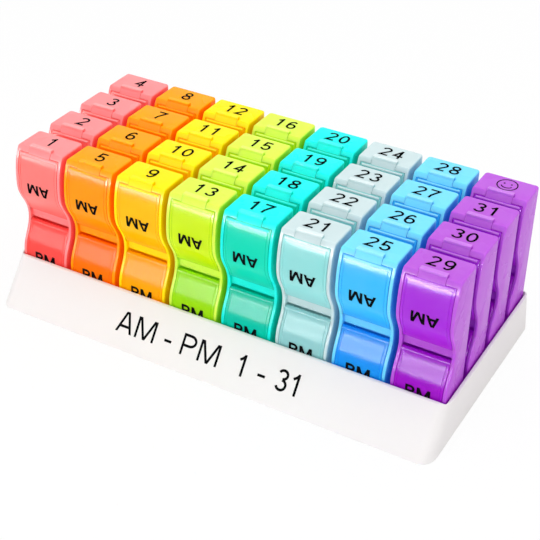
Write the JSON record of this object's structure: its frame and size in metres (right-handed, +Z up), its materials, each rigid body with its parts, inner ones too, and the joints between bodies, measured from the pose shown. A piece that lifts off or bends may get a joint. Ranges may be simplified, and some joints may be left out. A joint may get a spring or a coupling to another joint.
{
  "type": "monthly pill box",
  "caption": "Pill box for a month: upright day boxes in coloured rows, each with a morning and an evening lid, standing in an open white tray.",
  "frame": {"origin": "on the table, under the middle of the tray's base", "axes": "+Z up, +X along the eight columns with the pink column at -X, -Y towards the tray's label side and the lids"},
  "size_m": [0.2272, 0.1168, 0.08],
  "materials": {
    "tray_white": "white moulded polystyrene, semi-gloss",
    "pink_plastic": "translucent pink polypropylene, glossy",
    "orange_plastic": "translucent orange polypropylene, glossy",
    "yellow_plastic": "translucent yellow polypropylene, glossy",
    "lime_plastic": "translucent lime polypropylene, glossy",
    "teal_plastic": "translucent teal polypropylene, glossy",
    "clear_plastic": "translucent clear polypropylene, glossy",
    "blue_plastic": "translucent blue polypropylene, glossy",
    "violet_plastic": "translucent violet polypropylene, glossy"
  },
  "bodies": {
    "tray": {"tray": "tray_white"},
    "lid_01": {"am_lid_01": "pink_plastic"},
    "box_01": {"day_box_01": "pink_plastic", "pm_lid_01": "pink_plastic"},
    "box_02": {"day_box_02": "pink_plastic"},
    "box_03": {"day_box_03": "pink_plastic"},
    "box_04": {"day_box_04": "pink_plastic"},
    "lid_05": {"am_lid_05": "orange_plastic"},
    "box_05": {"day_box_05": "orange_plastic", "pm_lid_05": "orange_plastic"},
    "box_06": {"day_box_06": "orange_plastic"},
    "box_07": {"day_box_07": "orange_plastic"},
    "box_08": {"day_box_08": "orange_plastic"},
    "lid_09": {"am_lid_09": "yellow_plastic"},
    "box_09": {"day_box_09": "yellow_plastic", "pm_lid_09": "yellow_plastic"},
    "box_10": {"day_box_10": "yellow_plastic"},
    "box_11": {"day_box_11": "yellow_plastic"},
    "box_12": {"day_box_12": "yellow_plastic"},
    "lid_13": {"am_lid_13": "lime_plastic"},
    "box_13": {"day_box_13": "lime_plastic", "pm_lid_13": "lime_plastic"},
    "box_14": {"day_box_14": "lime_plastic"},
    "box_15": {"day_box_15": "lime_plastic"},
    "box_16": {"day_box_16": "lime_plastic"},
    "lid_17": {"am_lid_17": "teal_plastic"},
    "box_17": {"day_box_17": "teal_plastic", "pm_lid_17": "teal_plastic"},
    "box_18": {"day_box_18": "teal_plastic"},
    "box_19": {"day_box_19": "teal_plastic"},
    "box_20": {"day_box_20": "teal_plastic"},
    "lid_21": {"am_lid_21": "clear_plastic"},
    "box_21": {"day_box_21": "clear_plastic", "pm_lid_21": "clear_plastic"},
    "box_22": {"day_box_22": "clear_plastic"},
    "box_23": {"day_box_23": "clear_plastic"},
    "box_24": {"day_box_24": "clear_plastic"},
    "lid_25": {"am_lid_25": "blue_plastic"},
    "box_25": {"day_box_25": "blue_plastic", "pm_lid_25": "blue_plastic"},
    "box_26": {"day_box_26": "blue_plastic"},
    "box_27": {"day_box_27": "blue_plastic"},
    "box_28": {"day_box_28": "blue_plastic"},
    "lid_29": {"am_lid_29": "violet_plastic"},
    "box_29": {"day_box_29": "violet_plastic", "pm_lid_29": "violet_plastic"},
    "box_30": {"day_box_30": "violet_plastic", "pm_lid_30": "violet_plastic", "am_lid_30": "violet_plastic"},
    "box_31": {"day_box_31": "violet_plastic", "pm_lid_31": "violet_plastic", "am_lid_31": "violet_plastic"},
    "box_32": {"day_box_32": "violet_plastic", "pm_lid_32": "violet_plastic", "am_lid_32": "violet_plastic"}
  },
  "joints": [
    {"name": "open_am_01", "type": "hinge", "parent": "box_01", "child": "lid_01", "pos_m": [-0.098, -0.03336, 0.0451], "axis": [1, 0, 0], "range_deg": [0, 100]},
    {"name": "lift_01", "type": "slide", "parent": "tray", "child": "box_01", "axis": [0, 0, 1], "range_m": [0, 0.085]},
    {"name": "lift_02", "type": "slide", "parent": "tray", "child": "box_02", "axis": [0, 0, 1], "range_m": [0, 0.085]},
    {"name": "lift_03", "type": "slide", "parent": "tray", "child": "box_03", "axis": [0, 0, 1], "range_m": [0, 0.085]},
    {"name": "lift_04", "type": "slide", "parent": "tray", "child": "box_04", "axis": [0, 0, 1], "range_m": [0, 0.085]},
    {"name": "open_am_05", "type": "hinge", "parent": "box_05", "child": "lid_05", "pos_m": [-0.07, -0.03336, 0.0451], "axis": [1, 0, 0], "range_deg": [0, 100]},
    {"name": "lift_05", "type": "slide", "parent": "tray", "child": "box_05", "axis": [0, 0, 1], "range_m": [0, 0.085]},
    {"name": "lift_06", "type": "slide", "parent": "tray", "child": "box_06", "axis": [0, 0, 1], "range_m": [0, 0.085]},
    {"name": "lift_07", "type": "slide", "parent": "tray", "child": "box_07", "axis": [0, 0, 1], "range_m": [0, 0.085]},
    {"name": "lift_08", "type": "slide", "parent": "tray", "child": "box_08", "axis": [0, 0, 1], "range_m": [0, 0.085]},
    {"name": "open_am_09", "type": "hinge", "parent": "box_09", "child": "lid_09", "pos_m": [-0.042, -0.03336, 0.0451], "axis": [1, 0, 0], "range_deg": [0, 100]},
    {"name": "lift_09", "type": "slide", "parent": "tray", "child": "box_09", "axis": [0, 0, 1], "range_m": [0, 0.085]},
    {"name": "lift_10", "type": "slide", "parent": "tray", "child": "box_10", "axis": [0, 0, 1], "range_m": [0, 0.085]},
    {"name": "lift_11", "type": "slide", "parent": "tray", "child": "box_11", "axis": [0, 0, 1], "range_m": [0, 0.085]},
    {"name": "lift_12", "type": "slide", "parent": "tray", "child": "box_12", "axis": [0, 0, 1], "range_m": [0, 0.085]},
    {"name": "open_am_13", "type": "hinge", "parent": "box_13", "child": "lid_13", "pos_m": [-0.014, -0.03336, 0.0451], "axis": [1, 0, 0], "range_deg": [0, 100]},
    {"name": "lift_13", "type": "slide", "parent": "tray", "child": "box_13", "axis": [0, 0, 1], "range_m": [0, 0.085]},
    {"name": "lift_14", "type": "slide", "parent": "tray", "child": "box_14", "axis": [0, 0, 1], "range_m": [0, 0.085]},
    {"name": "lift_15", "type": "slide", "parent": "tray", "child": "box_15", "axis": [0, 0, 1], "range_m": [0, 0.085]},
    {"name": "lift_16", "type": "slide", "parent": "tray", "child": "box_16", "axis": [0, 0, 1], "range_m": [0, 0.085]},
    {"name": "open_am_17", "type": "hinge", "parent": "box_17", "child": "lid_17", "pos_m": [0.014, -0.03336, 0.0451], "axis": [1, 0, 0], "range_deg": [0, 100]},
    {"name": "lift_17", "type": "slide", "parent": "tray", "child": "box_17", "axis": [0, 0, 1], "range_m": [0, 0.085]},
    {"name": "lift_18", "type": "slide", "parent": "tray", "child": "box_18", "axis": [0, 0, 1], "range_m": [0, 0.085]},
    {"name": "lift_19", "type": "slide", "parent": "tray", "child": "box_19", "axis": [0, 0, 1], "range_m": [0, 0.085]},
    {"name": "lift_20", "type": "slide", "parent": "tray", "child": "box_20", "axis": [0, 0, 1], "range_m": [0, 0.085]},
    {"name": "open_am_21", "type": "hinge", "parent": "box_21", "child": "lid_21", "pos_m": [0.042, -0.03336, 0.0451], "axis": [1, 0, 0], "range_deg": [0, 100]},
    {"name": "lift_21", "type": "slide", "parent": "tray", "child": "box_21", "axis": [0, 0, 1], "range_m": [0, 0.085]},
    {"name": "lift_22", "type": "slide", "parent": "tray", "child": "box_22", "axis": [0, 0, 1], "range_m": [0, 0.085]},
    {"name": "lift_23", "type": "slide", "parent": "tray", "child": "box_23", "axis": [0, 0, 1], "range_m": [0, 0.085]},
    {"name": "lift_24", "type": "slide", "parent": "tray", "child": "box_24", "axis": [0, 0, 1], "range_m": [0, 0.085]},
    {"name": "open_am_25", "type": "hinge", "parent": "box_25", "child": "lid_25", "pos_m": [0.07, -0.03336, 0.0451], "axis": [1, 0, 0], "range_deg": [0, 100]},
    {"name": "lift_25", "type": "slide", "parent": "tray", "child": "box_25", "axis": [0, 0, 1], "range_m": [0, 0.085]},
    {"name": "lift_26", "type": "slide", "parent": "tray", "child": "box_26", "axis": [0, 0, 1], "range_m": [0, 0.085]},
    {"name": "lift_27", "type": "slide", "parent": "tray", "child": "box_27", "axis": [0, 0, 1], "range_m": [0, 0.085]},
    {"name": "lift_28", "type": "slide", "parent": "tray", "child": "box_28", "axis": [0, 0, 1], "range_m": [0, 0.085]},
    {"name": "open_am_29", "type": "hinge", "parent": "box_29", "child": "lid_29", "pos_m": [0.098, -0.03336, 0.0451], "axis": [1, 0, 0], "range_deg": [0, 100]},
    {"name": "lift_29", "type": "slide", "parent": "tray", "child": "box_29", "axis": [0, 0, 1], "range_m": [0, 0.085]},
    {"name": "lift_30", "type": "slide", "parent": "tray", "child": "box_30", "axis": [0, 0, 1], "range_m": [0, 0.085]},
    {"name": "lift_31", "type": "slide", "parent": "tray", "child": "box_31", "axis": [0, 0, 1], "range_m": [0, 0.085]},
    {"name": "lift_32", "type": "slide", "parent": "tray", "child": "box_32", "axis": [0, 0, 1], "range_m": [0, 0.085]}
  ]
}
